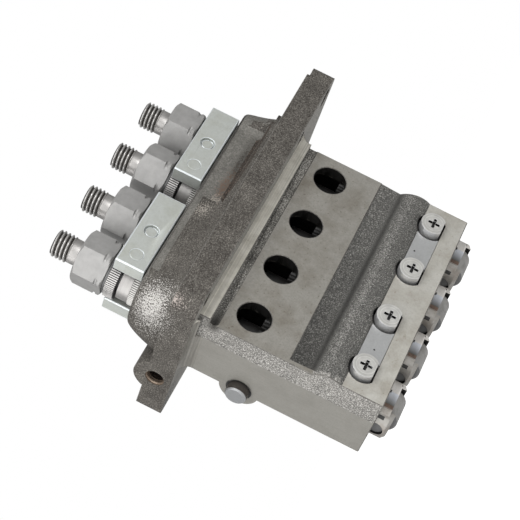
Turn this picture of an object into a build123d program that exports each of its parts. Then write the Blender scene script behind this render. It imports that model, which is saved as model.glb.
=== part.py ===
from build123d import *
import math
import os

# Four-cylinder in-line diesel injection pump: a cast housing that hangs in an engine block by its flange,
# four pump elements in a row, one control rack and four roller tappets.
# Z runs along the plungers towards the pipe unions, X along the row, and the hole face looks along -Y.
# The origin is on the flange's seat, on the line of the plungers, at the middle of the row. Millimetres.

# The row of cylinders
cylinder_count = 4
cylinder_pitch = 28.0
row_half = cylinder_pitch * (cylinder_count - 1) / 2
cylinder_x = [row_half - cylinder_pitch * i for i in range(cylinder_count)]
pair_count = cylinder_count // 2
pair_x = [(cylinder_x[2 * i] + cylinder_x[2 * i + 1]) / 2 for i in range(pair_count)]

# Clearances
running_gap = 0.03
sliding_gap = 0.05
press_gap = 0.02
free_gap = 0.3

# Flange
flange_thickness = 11.4
flange_front = 27.0
flange_back = 50.0
flange_near_overhang = 6.2
flange_far_overhang = 35.0
flange_corner = 7.0
flange_small_corner = 4.0
flange_end_step = 1.2
flange_end_pad = 7.1
bolt_hole_radius = 4.5
bolt_edge_x = 9.6
bolt_edge_front = 6.0
bolt_edge_back = 9.0
bolt_near_edge = 35.2
locating_hole_radius = 3.2
locating_hole_depth = 8.0
locating_hole_reach = 50.0
locating_hole_y = -22.0

# Lower block, which reaches down to the camshaft
near_margin = 14.0
far_margin = 12.1
near_end = -(row_half + near_margin)
far_end = row_half + far_margin
block_depth = 80.2
block_back = 16.0
foot_face = 16.6
window_face = 14.9
window_top = 8.4
window_bottom = 39.7
window_relief = 0.5
collar_face = 17.0
collar_depth = 4.9
end_fillet = 5.0
channel_face = 14.4
channel_floor = 14.0
channel_low = 48.8
channel_near = -52.5
channel_corner = 4.5
channel_foot = 52.7
ridge_face = 17.7
step_face = 16.4
step_depth = 51.8
ridge_top_rise = 25.2
ridge_end_rise = 18.0
groove_near = -54.6
end_taper_depth = 1.7
end_taper_width = 10.4
bottom_corner = 3.0

# Front holes over the control sleeves
sight_hole_radius = 7.25
sight_hole_depth = 19.3

# Upper casting, which carries the barrels
deck_height = 27.0
deck_front = 16.9
deck_back = 14.0
deck_end_margin = 13.8
deck_levels = [0.0, 0.2, 0.5, 0.85, 1.0]
deck_flares_front = [9.4, 6.8, 3.8, 1.1, 0.0]
deck_flares_back = [3.4, 3.0, 2.0, 0.6, 0.0]
deck_flares_near = [5.4, 5.3, 4.6, 3.0, 1.4]
deck_flares_far = [1.8, 1.5, 1.0, 0.4, 0.0]
deck_near_corners = [12.0, 12.5, 13.0, 13.5, 13.5]
deck_far_corners = [13.0, 10.5, 8.0, 5.5, 5.0]
pocket_wall = 17.2
pocket_valley = 3.6
pocket_valley_rise = 16.6
pocket_near = -3.5
pocket_far = 48.5
pocket_end_radius = 7.0
pad_radius = 3.6
pad_height = 3.2
pad_place = (64.0, -9.0)

# Control rack
rack_radius = 4.75
rack_height = -25.8
rack_proud = 4.1
rack_far_inset = 4.0
rack_boss_radius = 8.7
rack_chamfer = 0.6
rack_teeth_per_cylinder = 11
rack_teeth_beyond = 3
sleeve_tooth_count = 26
pressure_angle = math.radians(20)
tooth_pitch = cylinder_pitch / rack_teeth_per_cylinder
tooth_module = tooth_pitch / math.pi
pitch_radius = tooth_module * sleeve_tooth_count / 2
tooth_addendum = 0.85 * tooth_module
tooth_dedendum = 1.15 * tooth_module
rack_reach = pitch_radius + rack_radius - tooth_addendum
tooth_backlash = 0.16

# Fuel inlet and gallery
inlet_radius = 4.25
inlet_depth = 22.0
inlet_chamfer = 1.0
inlet_y = 25.7
inlet_height = 7.2
inlet_boss_radius = 9.6
inlet_boss_length = 24.0
gallery_radius = 2.5
gallery_height = 8.0
gallery_ring_radius = 10.0
gallery_ring_width = 9.0
gallery_y = 11.5
port_radius = 1.5

# Plunger and barrel
plunger_radius = 3.5
plunger_top = 5.0
plunger_lift = 8.0
barrel_radius = 8.3
barrel_collar_radius = 9.6
barrel_collar_height = 2.2
barrel_sleeve_radius = 9.1
barrel_head_rise = 8.5
barrel_step = -10.5
barrel_nose_radius = 5.5
barrel_end = -31.0
barrel_thread_radius = 6.95
barrel_head_depth = 13.0
ring_groove_height = -4.0
ring_section = 0.78

# Delivery valve
valve_seat_depth = 4.4
valve_nose_radius = 4.0
valve_nose_height = 1.8
valve_bore_radius = 3.0
valve_stem_length = 8.0
valve_head_radius = 3.5
valve_head_height = 2.0
valve_pilot_radius = 1.8
valve_pilot_height = 1.6
valve_lift = 2.5
gasket_thickness = 1.4
gasket_inner_radius = 4.4
valve_spring_radius = 2.9
valve_spring_wire = 1.0
valve_spring_turns = 5

# Delivery valve holder
union_rise = 40.6
union_radius = 6.0
union_length = 7.6
union_neck_radius = 5.4
union_chamfer = 0.7
hex_rise = 28.5
hex_seat_rise = 14.8
hex_flats = 21.0
hex_chamfer = 1.6
lock_ring_radius = 10.7
lock_ring_rise = 9.2
lock_ring_top_rise = 13.9
lock_neck_radius = 9.7
holder_chamber_radius = 4.2
chamber_roof_rise = 17.0
outlet_radius = 1.0
outlet_cone_radius = 3.6
outlet_cone_depth = 4.4

# Lock plates
plate_length = 41.0
plate_gap = 0.4
plate_rise = 13.2
plate_outer = 17.0
plate_inner = 10.3
plate_chamfer = 0.4
plate_screw_radius = 2.5
plate_screw_recess = 0.9
plate_counterbore_radius = 3.1
plate_counterbore_depth = 1.6
plate_head_radius = 4.25
plate_head_height = 3.4
plate_key_radius = 2.0
plate_pin_radius = 2.8

# Control sleeve
sleeve_radius = 6.6
sleeve_top = -14.0
sleeve_bottom = -44.8
sleeve_ring_height = 5.0
sleeve_collar_radius = 8.4
sleeve_collar_top = -30.9
vane_thickness = 2.4
vane_reach = 6.2
vane_height = 3.0
vane_top = -41.2

# Plunger spring
spring_radius = 8.1
spring_wire = 2.2
spring_turns = 4
spring_chamber_radius = 9.7
sleeve_chamber_radius = 11.6
sleeve_ledge_radius = 9.2
sleeve_ledge_top = -30.0
sleeve_chamber_top = -11.5
upper_seat_bottom = -34.0
upper_seat_height = 1.8
spring_seat_rise = 26.8
lower_seat_height = 1.6
lower_seat_radius = 9.3

# Tappet and roller
tappet_radius = 11.8
tappet_neck_radius = 9.0
shoulder_rise = 18.2
tappet_fall = 4.2
cheek_fall = 6.4
tappet_chamfer = 1.4
foot_radius = 4.6
foot_height = 2.2
foot_neck_radius = 2.4
roller_radius = 7.5
roller_width = 12.6
roller_chamfer = 0.8
roller_fall = 1.1
roller_pin_radius = 3.5
roller_pin_length = 21.0
roller_slot_side = 0.3
roller_slot_roof = 1.0

# Guide pins and their lock strips
guide_rise = 13.0
guide_head_radius = 5.6
guide_head_top = 19.7
guide_head_flat = 4.2
guide_recess_radius = 6.7
guide_recess_floor = 14.2
guide_shank_radius = 3.4
guide_tip_radius = 2.9
guide_tip_end = 9.7
guide_groove_floor = 9.3
guide_step_rise = 7.9
guide_strip_rise = 18.0
guide_strip_thickness = 1.5
guide_strip_gap = 0.15
guide_cross_length = 5.2
guide_cross_width = 1.3
guide_cross_depth = 1.6

# Places that follow from the sizes above
barrel_top = deck_height + barrel_head_rise
union_top = deck_height + union_rise
hex_top = deck_height + hex_rise
hex_bottom = deck_height + hex_seat_rise
lock_ring_bottom = deck_height + lock_ring_rise
lock_ring_top = deck_height + lock_ring_top_rise
holder_chamber_roof = deck_height + chamber_roof_rise
plate_bottom = deck_height + plate_gap
plate_top = deck_height + plate_rise
barrel_thread_floor = deck_height - barrel_head_depth
valve_seat_top = deck_height - valve_seat_depth
ring_seat_radius = barrel_radius - 2 * ring_section
lower_seat_top = spring_seat_rise - block_depth
tappet_shoulder = shoulder_rise - block_depth
tappet_bottom = -tappet_fall - block_depth
tappet_cheek_bottom = -cheek_fall - block_depth
roller_height = -roller_fall - block_depth
guide_height = guide_rise - block_depth
guide_step = block_depth - guide_step_rise
guide_strip_top = block_depth - guide_strip_rise
ridge_end = block_depth - ridge_end_rise
ridge_top = block_depth - ridge_top_rise
tappet_top = lower_seat_top - lower_seat_height
foot_top = tappet_top - running_gap
sleeve_bore_radius = barrel_nose_radius + sliding_gap
tappet_bore_radius = tappet_radius + sliding_gap
tappet_bore_top = tappet_shoulder + plunger_lift + free_gap
flange_near_end = near_end - flange_near_overhang
flange_far_end = far_end + flange_far_overhang
deck_near_end = -(row_half + deck_end_margin)
deck_far_end = row_half + deck_end_margin
bolt_far_x = flange_far_end - bolt_edge_x
bolt_front_y = bolt_edge_front - flange_front
bolt_back_y = flange_back - bolt_edge_back
bolt_near_x = flange_near_end + bolt_near_edge
bolt_middle_x = (bolt_near_x + bolt_far_x) / 2
plate_middle = (plate_bottom + plate_top) / 2


def rod(radius, bottom, top, x=0.0, y=0.0):
    """A cylinder along Z between two heights."""
    return Pos(x, y, (bottom + top) / 2) * Cylinder(radius, top - bottom)


def rod_x(radius, start, end, y, z):
    """A cylinder along X between two places."""
    return Pos((start + end) / 2, y, z) * Rot(0, 90, 0) * Cylinder(radius, end - start)


def rod_y(radius, start, end, x, z):
    """A cylinder along Y between two places."""
    return Pos(x, (start + end) / 2, z) * Rot(90, 0, 0) * Cylinder(radius, end - start)


def block(x_range, y_range, z_range):
    """A box between pairs of coordinates."""
    size = [high - low for low, high in (x_range, y_range, z_range)]
    middle = [(high + low) / 2 for low, high in (x_range, y_range, z_range)]
    return Pos(*middle) * Box(*size)


def turned(points, x=0.0, y=0.0):
    """A turned piece: a closed half section of (radius, height) points about a line along Z."""
    section = make_face(Polyline(*[(radius, 0, height) for radius, height in points], close=True))
    return Pos(x, y, 0) * revolve(section, Axis.Z)


def tube(outer, inner, bottom, top, x=0.0, y=0.0):
    """A plain ring along Z."""
    return rod(outer, bottom, top, x, y) - rod(inner, bottom - 1, top + 1, x, y)


def side_profile(points, start, end):
    """A solid along X with a closed outline of (y, z) points."""
    outline = make_face(Polyline(*[(start, y, z) for y, z in points], close=True))
    return extrude(outline, amount=end - start, dir=(1, 0, 0))


def coil_spring(radius, wire, turns, bottom, top, x):
    """A helical compression spring, its round wire drawn as an eight-sided bar."""
    height = top - bottom - wire
    path = Helix(pitch=height / turns, height=height, radius=radius)
    section = Plane(origin=path @ 0, z_dir=path % 0) * RegularPolygon(wire / 2, 8)
    return Pos(x, 0, bottom + wire / 2) * sweep(section, path=path, is_frenet=True)


def flange():
    """The mounting flange, with a thinner bolt pad at its far end."""
    corners = [(flange_near_end, -flange_front), (flange_far_end, -flange_front)]
    corners += [(flange_far_end, flange_back), (flange_near_end, flange_back)]
    outline = make_face(Polyline(*corners, close=True))
    near_front = outline.vertices().sort_by(Axis.X)[:2].sort_by(Axis.Y)[0]
    outline = fillet(near_front, flange_corner)
    others = [vertex for vertex in outline.vertices() if vertex.X > flange_near_end + 2 * flange_corner
              or vertex.Y > 0]
    outline = fillet(others, flange_small_corner)
    plate = extrude(outline, amount=flange_thickness)
    step = block((flange_far_end - flange_end_pad, flange_far_end + 1), (-flange_front - 1, flange_back + 1),
                 (flange_thickness - flange_end_step, flange_thickness + 1))
    boss = rod_x(inlet_boss_radius, flange_near_end, flange_near_end + inlet_boss_length, inlet_y, inlet_height)
    under = block((flange_near_end - 1, flange_near_end + inlet_boss_length + 1),
                  (inlet_y - inlet_boss_radius - 1, inlet_y + inlet_boss_radius + 1), (-block_depth, 0))
    return plate - step + (boss - under)


def deck_section(height, front_flare, back_flare, near_flare, far_flare, near_corner, far_corner):
    """One level of the upper casting: the deck's outline let out on its four sides."""
    near, far = deck_near_end - near_flare, deck_far_end + far_flare
    front, back = -deck_front - front_flare, deck_back + back_flare
    outline = make_face(Polyline((near, front), (far, front), (far, back), (near, back), close=True))
    outline = fillet(outline.vertices().sort_by(Axis.X)[:2], near_corner)
    outline = fillet(outline.vertices().sort_by(Axis.X)[-2:], far_corner)
    return Pos(0, 0, height) * outline


def pocket():
    """The scoop in the front of the upper casting: flat wall, round valley and round ends."""
    outside = -flange_front - 1
    scoop = block((pocket_near, pocket_far), (outside, -pocket_wall), (pocket_valley_rise, deck_height + 1))
    scoop += rod_x(pocket_valley, pocket_near, pocket_far, -pocket_wall - pocket_valley, pocket_valley_rise)
    middle, width = (pocket_near + pocket_far) / 2, pocket_far - pocket_near
    plan = RectangleRounded(width, 4 * pocket_end_radius, pocket_end_radius)
    floor = pocket_valley_rise - pocket_valley - 1
    ends = extrude(Pos(middle, -pocket_wall - 2 * pocket_end_radius, floor) * plan, amount=deck_height)
    return scoop & ends


def upper_casting():
    """The flared casting that carries the barrels, hollowed on the far half of its front."""
    heights = [flange_thickness + level * (deck_height - flange_thickness) for level in deck_levels]
    levels = zip(heights, deck_flares_front, deck_flares_back, deck_flares_near, deck_flares_far,
                 deck_near_corners, deck_far_corners)
    casting = loft([deck_section(*level) for level in levels])
    return casting - pocket()


def block_section():
    """The block's end outline in (y, z): collar, groove, hole face, cast channel, ridge and foot."""
    groove_face = -window_face + window_relief
    machined = [(-foot_face, -ridge_end), (-foot_face, -block_depth), (block_back, -block_depth), (block_back, 0)]
    machined += [(groove_face, 0), (groove_face, -window_top), (-window_face, -window_top)]
    machined += [(-window_face, -window_bottom), (-channel_face, -window_bottom), (-channel_floor, -channel_low)]
    cast = [(-channel_floor, -channel_low), (-step_face, -step_depth), (-ridge_face, -ridge_top)]
    cast += [(-foot_face, -ridge_end)]
    flat = Polyline(*[(near_end, y, z) for y, z in machined])
    curved = Spline(*[(near_end, y, z) for y, z in cast])
    return make_face([flat, curved])


def end_rims():
    """The cast rim that closes the groove and the channel at the near end, with their rounded run-outs."""
    groove_radius = (window_top - collar_depth) / 2
    groove_middle = -(window_top + collar_depth) / 2
    faces = (-window_face, -channel_floor + 2)
    rims = block((near_end, groove_near + groove_radius), faces, (-window_top, -collar_depth))
    rims -= rod_y(groove_radius, -window_face - 1, 0, groove_near + groove_radius, groove_middle)
    rims += block((near_end, channel_near), faces, (-channel_foot, -window_bottom))
    turn_x, turn_z = channel_near + channel_corner, channel_corner - channel_foot
    corner = block((channel_near, turn_x), faces, (-channel_foot, turn_z))
    return rims + (corner - rod_y(channel_corner, -window_face - 1, 0, turn_x, turn_z))


def lower_block():
    """The block below the flange: hole face, cast channel, guide face and the rack's boss at the back."""
    body = extrude(block_section(), amount=far_end - near_end, dir=(1, 0, 0))
    body += block((near_end, far_end), (-collar_face, 0), (-collar_depth, 0))
    body += end_rims()
    body += rod_x(rack_boss_radius, near_end, far_end, rack_reach, rack_height)
    for end, side in ((near_end, -1), (far_end, 1)):
        corner = block(sorted((end, end + side * end_fillet)), (-collar_face, block_back), (-end_fillet, 0))
        body += corner - rod_y(end_fillet, -collar_face - 1, block_back + 1, end + side * end_fillet, -end_fillet)
    wedge = [(near_end - 1, -ridge_face - 1), (near_end + end_taper_depth, -ridge_face - 1),
             (near_end + end_taper_depth, -foot_face), (near_end, -foot_face + end_taper_width),
             (near_end - 1, -foot_face + end_taper_width)]
    taper = extrude(make_face(Polyline(*[(x, y, 1) for x, y in wedge], close=True)), amount=-block_depth - 2)
    return body - taper


def cylinder_bores(x):
    """Everything that is bored out along one plunger, from the deck to the foot."""
    bores = rod(barrel_radius + press_gap, sleeve_chamber_top - 1, deck_height + 1, x)
    bores += rod(gallery_ring_radius, gallery_height - gallery_ring_width / 2,
                 gallery_height + gallery_ring_width / 2, x)
    bores += rod(sleeve_chamber_radius, sleeve_ledge_top, sleeve_chamber_top, x)
    bores += rod(sleeve_ledge_radius, upper_seat_bottom + upper_seat_height, sleeve_ledge_top + 1, x)
    bores += rod(spring_chamber_radius, tappet_bore_top - 1, upper_seat_bottom + upper_seat_height, x)
    bores += rod(tappet_bore_radius, -block_depth - 1, tappet_bore_top, x)
    bores += rod_y(sight_hole_radius, -window_face - 1, 0, x, -sight_hole_depth)
    return bores


def guide_cuts():
    """The guide pins' holes and head recesses, and the shallow grooves that their lock strips lie in."""
    cuts = Part()
    below = block((near_end, far_end), (-guide_head_top, 0), (-block_depth, -guide_step))
    for x in cylinder_x:
        recess = rod_y(guide_recess_radius, -foot_face - 1, -guide_recess_floor, x, guide_height)
        cuts += recess - below
        cuts += rod_y(guide_shank_radius + press_gap, -foot_face, 0, x, guide_height)
    for x in pair_x:
        cuts += block((x - cylinder_pitch / 2, x + cylinder_pitch / 2),
                      (-foot_face - 1, guide_strip_gap + guide_strip_thickness - foot_face),
                      (-guide_step, -guide_strip_top))
    return cuts


def fuel_ways():
    """The threaded inlet at the near end, its cross hole and the gallery along the barrels."""
    start = flange_near_end
    inlet = rod_x(inlet_radius, start - 1, start + inlet_depth, inlet_y, inlet_height)
    mouth = Pos(start, inlet_y, inlet_height) * Rot(0, 90, 0) * Cone(
        inlet_radius + inlet_chamfer, inlet_radius - inlet_chamfer, 2 * inlet_chamfer)
    cross = rod_y(gallery_radius, gallery_y, inlet_y, start + inlet_depth - gallery_radius, gallery_height)
    gallery = rod_x(gallery_radius, start + inlet_depth - gallery_radius, cylinder_x[0], gallery_y, gallery_height)
    return inlet + mouth + cross + gallery


def pump_housing():
    """The cast-iron housing, with its bores, holes and faces."""
    body = lower_block() + flange() + upper_casting()
    body += rod(pad_radius, flange_thickness - 1, flange_thickness + pad_height, *pad_place)
    for x in cylinder_x:
        body -= cylinder_bores(x)
    body -= rod_x(rack_radius + sliding_gap, near_end - 1, far_end + 1, rack_reach, rack_height)
    body -= guide_cuts()
    body -= fuel_ways()
    for x, y in bolt_places():
        body -= rod(bolt_hole_radius, -1, flange_thickness + 1, x, y)
    for x in (-locating_hole_reach, locating_hole_reach):
        body -= rod(locating_hole_radius, -1, locating_hole_depth, x, locating_hole_y)
    return body


def bolt_places():
    """The flange's four bolt holes."""
    places = [(bolt_far_x, bolt_front_y), (bolt_far_x, bolt_back_y)]
    return places + [(bolt_near_x, bolt_back_y), (bolt_middle_x, bolt_back_y)]


def barrel(x):
    """The plunger's barrel, which stands in the deck and holds the valve parts in its head."""
    collar_top = deck_height + barrel_collar_height
    points = [(0, barrel_end), (barrel_nose_radius, barrel_end), (barrel_nose_radius, barrel_step)]
    points += [(barrel_radius, barrel_step), (barrel_radius, deck_height), (barrel_collar_radius, deck_height)]
    points += [(barrel_collar_radius, collar_top), (barrel_sleeve_radius, collar_top)]
    points += [(barrel_sleeve_radius, barrel_top), (barrel_thread_radius, barrel_top)]
    points += [(barrel_thread_radius, barrel_thread_floor), (0, barrel_thread_floor)]
    body = turned(points, x)
    body -= rod(plunger_radius + running_gap, barrel_end - 1, barrel_thread_floor + 1, x)
    body -= rod_y(port_radius, -barrel_radius - 1, barrel_radius + 1, x, gallery_height)
    groove = tube(barrel_radius + 1, ring_seat_radius, ring_groove_height - ring_section - sliding_gap,
                  ring_groove_height + ring_section + sliding_gap, x)
    return body - groove


def valve_seat(x):
    """The delivery valve's seat, at the floor of the barrel's head."""
    nose_top = valve_seat_top + valve_nose_height
    points = [(valve_bore_radius, barrel_thread_floor), (barrel_thread_radius - press_gap, barrel_thread_floor)]
    points += [(barrel_thread_radius - press_gap, valve_seat_top), (valve_nose_radius, valve_seat_top)]
    points += [(valve_nose_radius, nose_top), (valve_bore_radius, nose_top)]
    return turned(points, x)


def delivery_valve(x):
    """The fluted delivery valve: stem, head and spring pilot."""
    head_bottom = valve_seat_top + valve_nose_height + running_gap
    head_top = head_bottom + valve_head_height
    body = rod(valve_bore_radius - running_gap, head_bottom - valve_stem_length, head_bottom, x)
    for angle in (0, 90, 180, 270):
        flute = Pos(x, 0, head_bottom - valve_stem_length / 2 - 1) * Rot(0, 0, angle) * Pos(
            valve_bore_radius, 0, 0) * Cylinder(valve_bore_radius / 2, valve_stem_length)
        body -= flute
    body += rod(valve_head_radius, head_bottom, head_top, x)
    body += rod(valve_pilot_radius, head_top, head_top + valve_pilot_height, x)
    return body


def valve_gasket(x):
    """The flat sealing ring between the seat and the holder."""
    return tube(barrel_thread_radius - press_gap, gasket_inner_radius, valve_seat_top,
                valve_seat_top + gasket_thickness, x)


def valve_spring(x):
    """The delivery valve's return spring."""
    bottom = valve_seat_top + valve_nose_height + running_gap + valve_head_height
    return coil_spring(valve_spring_radius, valve_spring_wire, valve_spring_turns, bottom, holder_chamber_roof, x)


def delivery_valve_holder(x, turn):
    """The hexagon holder that screws into the barrel and takes the injection pipe's union nut."""
    stem_bottom = valve_seat_top + gasket_thickness
    body = rod(barrel_thread_radius - press_gap, stem_bottom, lock_ring_bottom, x)
    body += rod(lock_ring_radius, lock_ring_bottom, lock_ring_top, x)
    body += rod(lock_neck_radius, lock_ring_top, hex_bottom, x)
    hexagon = extrude(RegularPolygon(hex_flats / 2, 6, major_radius=False, rotation=turn),
                      amount=hex_top - hex_bottom)
    corner = hex_flats / math.sqrt(3)
    dome = turned([(0, hex_bottom), (corner, hex_bottom), (corner, hex_top - hex_chamfer / math.sqrt(3)),
                   (corner - hex_chamfer, hex_top), (0, hex_top)], x)
    body += (Pos(x, 0, hex_bottom) * hexagon) & dome
    thread_bottom = union_top - union_length
    points = [(0, hex_top), (union_neck_radius, hex_top), (union_neck_radius, thread_bottom)]
    points += [(union_radius, thread_bottom), (union_radius, union_top - union_chamfer)]
    points += [(union_radius - union_chamfer, union_top), (outlet_cone_radius, union_top)]
    points += [(outlet_radius, union_top - outlet_cone_depth), (0, union_top - outlet_cone_depth)]
    body += turned(points, x)
    body -= rod(holder_chamber_radius, stem_bottom - 1, holder_chamber_roof, x)
    body -= rod(outlet_radius, holder_chamber_roof - 1, union_top, x)
    return body


def o_ring(x):
    """The rubber ring that seals a barrel below the gallery."""
    return Pos(x, 0, ring_groove_height) * Torus(ring_seat_radius + ring_section, ring_section)


def lock_plate(x, side):
    """A plate that keeps the holders and barrels of one pair from turning. side is -1 at the front, 1 behind."""
    faces = sorted((side * plate_inner, side * plate_outer))
    body = block((x - plate_length / 2, x + plate_length / 2), faces, (plate_bottom, plate_top))
    body = chamfer(body.edges().filter_by(Axis.Z) + body.edges().filter_by(Axis.X), plate_chamfer)
    for offset in (-cylinder_pitch / 2, cylinder_pitch / 2):
        body -= rod(lock_ring_radius + sliding_gap, plate_bottom - 1, plate_top + 1, x + offset)
    body -= rod_y(plate_screw_radius + press_gap, faces[0] - 1, faces[1] + 1, x, plate_middle)
    if side < 0:
        body -= rod_y(plate_counterbore_radius, faces[0] - 1, faces[0] + plate_counterbore_depth, x, plate_middle)
    body -= rod_y(plate_pin_radius + press_gap, faces[0] - 1, faces[1] + 1, x - cylinder_pitch / 2, plate_middle)
    return body


def plate_screw(x):
    """The screw that draws a pair of lock plates together, its head behind and its end peened in front."""
    shank = rod_y(plate_screw_radius, plate_screw_recess - plate_outer, plate_outer, x, plate_middle)
    head = rod_y(plate_head_radius, plate_outer, plate_outer + plate_head_height, x, plate_middle)
    socket = Pos(x, plate_outer + plate_head_height, plate_middle) * Rot(90, 0, 0) * extrude(
        RegularPolygon(plate_key_radius, 6, major_radius=False), amount=plate_key_radius, both=True)
    return shank + head - socket


def plate_pin(x, side):
    """A dowel pressed through a lock plate until it bears on the holder's ring."""
    faces = sorted((side * (lock_ring_radius + sliding_gap), side * plate_outer))
    return rod_y(plate_pin_radius, *faces, x - cylinder_pitch / 2, plate_middle)


def rack_tooth_gap():
    """One gap between rack teeth, cut from the side that faces a sleeve, about its pitch line."""
    half = (tooth_pitch / 2 + tooth_backlash) / 2
    slope = math.tan(pressure_angle)
    depth = tooth_dedendum
    reach = rack_radius
    outline = [(-half - reach * slope, -reach), (half + reach * slope, -reach)]
    outline += [(half - depth * slope, depth), (-half + depth * slope, depth)]
    return extrude(make_face(Polyline(*outline, close=True)), amount=rack_radius + 1, both=True)


def control_rack():
    """The round control rod, toothed along the side that faces the sleeves."""
    start = near_end - rack_proud
    end = far_end - rack_far_inset
    body = rod_x(rack_radius, start, end, rack_reach, rack_height)
    body = chamfer(body.edges().filter_by(GeomType.CIRCLE), rack_chamfer)
    gap = rack_tooth_gap()
    first = row_half + rack_teeth_beyond * tooth_pitch
    count = round(2 * first / tooth_pitch) + 1
    gaps = [Pos(first - i * tooth_pitch, pitch_radius, rack_height) * gap for i in range(count)]
    return body - gaps


def involute(radius):
    """The angle on a sleeve tooth from its middle to its flank at one radius."""
    base = pitch_radius * math.cos(pressure_angle)
    here = math.acos(min(1.0, base / radius))
    thickness = (tooth_pitch / 2 - tooth_backlash) / pitch_radius / 2
    return thickness + (math.tan(pressure_angle) - pressure_angle) - (math.tan(here) - here)


def sleeve_tooth():
    """One involute tooth of a control sleeve's ring, standing along +Y on its pitch circle."""
    root = pitch_radius - tooth_dedendum
    base = pitch_radius * math.cos(pressure_angle)
    tip = pitch_radius + tooth_addendum
    flank = [(root - sliding_gap, involute(base))]
    flank += [(radius, involute(radius)) for radius in (base, (base + tip) / 2, tip)]
    right = [(radius * math.sin(angle), radius * math.cos(angle)) for radius, angle in flank]
    left = [(-x, y) for x, y in reversed(right)]
    return extrude(make_face(Polyline(*right, *left, close=True)), amount=sleeve_ring_height / 2, both=True)


def control_sleeve(x):
    """The sleeve that the rack turns: toothed ring above, two slots for the plunger's vane below."""
    body = rod(sleeve_radius, sleeve_bottom, sleeve_top, x)
    root = pitch_radius - tooth_dedendum
    body += rod(root, rack_height - sleeve_ring_height / 2, rack_height + sleeve_ring_height / 2, x)
    tooth = sleeve_tooth()
    teeth = [Pos(x, 0, rack_height) * Rot(0, 0, i * 360 / sleeve_tooth_count) * tooth
             for i in range(sleeve_tooth_count)]
    body += teeth
    collar_bottom = upper_seat_bottom + upper_seat_height + sliding_gap
    body += rod(sleeve_collar_radius, collar_bottom, sleeve_collar_top, x)
    body -= rod(sleeve_bore_radius, sleeve_bottom - 1, sleeve_top + 1, x)
    slot_top = vane_top + plunger_lift + free_gap
    body -= block((x - sleeve_radius - 1, x + sleeve_radius + 1),
                  (-vane_thickness / 2 - sliding_gap, vane_thickness / 2 + sliding_gap),
                  (sleeve_bottom - 1, slot_top))
    return body


def plunger(x):
    """The plunger: metering edge at the top, vane for the sleeve and a foot for the spring seat."""
    foot_bottom = foot_top - foot_height
    body = rod(plunger_radius, vane_top - vane_height, plunger_top, x)
    body += rod(foot_neck_radius, foot_top, vane_top - vane_height, x)
    body += rod(foot_radius, foot_bottom, foot_top, x)
    body += block((x - vane_reach, x + vane_reach), (-vane_thickness / 2, vane_thickness / 2),
                  (vane_top - vane_height, vane_top))
    slot_width = plunger_radius / 3
    slot_floor = plunger_top - 2.4 * plunger_radius
    body -= block((x - slot_width / 2, x + slot_width / 2), (-plunger_radius - 1, -plunger_radius / 2),
                  (slot_floor, plunger_top + 1))
    scroll = Pos(x, -plunger_radius, slot_floor + plunger_radius / 2) * Rot(0, 25, 0) * Box(
        4 * plunger_radius, plunger_radius * 0.8, plunger_radius * 0.8)
    return body - scroll


def upper_spring_seat(x):
    """The ring that the plunger spring bears on, under the housing's shoulder."""
    return tube(spring_chamber_radius - sliding_gap, sleeve_radius + free_gap, upper_seat_bottom,
                upper_seat_bottom + upper_seat_height, x)


def lower_spring_seat(x):
    """The disc between the spring and the tappet, with a keyhole for the plunger's foot."""
    body = rod(lower_seat_radius, tappet_top, lower_seat_top, x)
    body -= rod(foot_neck_radius + free_gap, tappet_top - 1, lower_seat_top + 1, x)
    keyhole = block((x, x + lower_seat_radius + 1), (-foot_neck_radius - free_gap, foot_neck_radius + free_gap),
                    (tappet_top - 1, lower_seat_top + 1))
    return body - keyhole


def plunger_spring(x):
    """The plunger's return spring."""
    return coil_spring(spring_radius, spring_wire, spring_turns, lower_seat_top, upper_seat_bottom, x)


def tappet(x):
    """The roller tappet: a hardened shell, forked across the row for its roller, grooved for the guide pin."""
    points = [(0, tappet_cheek_bottom), (tappet_radius - tappet_chamfer, tappet_cheek_bottom)]
    points += [(tappet_radius, tappet_cheek_bottom + tappet_chamfer), (tappet_radius, tappet_shoulder)]
    points += [(tappet_neck_radius, tappet_shoulder), (tappet_neck_radius, tappet_top), (0, tappet_top)]
    body = turned(points, x)
    body -= rod(foot_radius + free_gap, foot_top - foot_height - sliding_gap, tappet_top + 1, x)
    slot_half = roller_width / 2 + roller_slot_side
    slot_roof = roller_height + roller_radius + roller_slot_roof
    body -= block((x - slot_half, x + slot_half), (-tappet_radius - 1, tappet_radius + 1),
                  (tappet_cheek_bottom - 1, slot_roof))
    for side in (-1, 1):
        body -= block((x - tappet_radius, x + tappet_radius),
                      sorted((side * (tappet_radius + 1), side * (roller_radius + roller_slot_side))),
                      (tappet_cheek_bottom - 1, tappet_bottom))
    body -= rod_x(roller_pin_radius + press_gap, x - tappet_radius, x + tappet_radius, 0, roller_height)
    groove_top = guide_height + guide_tip_radius + sliding_gap
    groove = rod_y(guide_tip_radius + sliding_gap, -tappet_radius - 1, -guide_groove_floor, x, guide_height)
    groove += block((x - guide_tip_radius - sliding_gap, x + guide_tip_radius + sliding_gap),
                    (-tappet_radius - 1, -guide_groove_floor), (slot_roof - 1, groove_top - guide_tip_radius))
    return body - groove


def roller(x):
    """The hardened roller that runs on the cam."""
    half = roller_width / 2
    body = rod_x(roller_radius, x - half, x + half, 0, roller_height)
    body = chamfer(body.edges().filter_by(GeomType.CIRCLE), roller_chamfer)
    return body - rod_x(roller_pin_radius + running_gap, x - half - 1, x + half + 1, 0, roller_height)


def roller_pin(x):
    """The pin that the roller turns on, held by the tappet's two cheeks."""
    return rod_x(roller_pin_radius, x - roller_pin_length / 2, x + roller_pin_length / 2, 0, roller_height)


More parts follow.
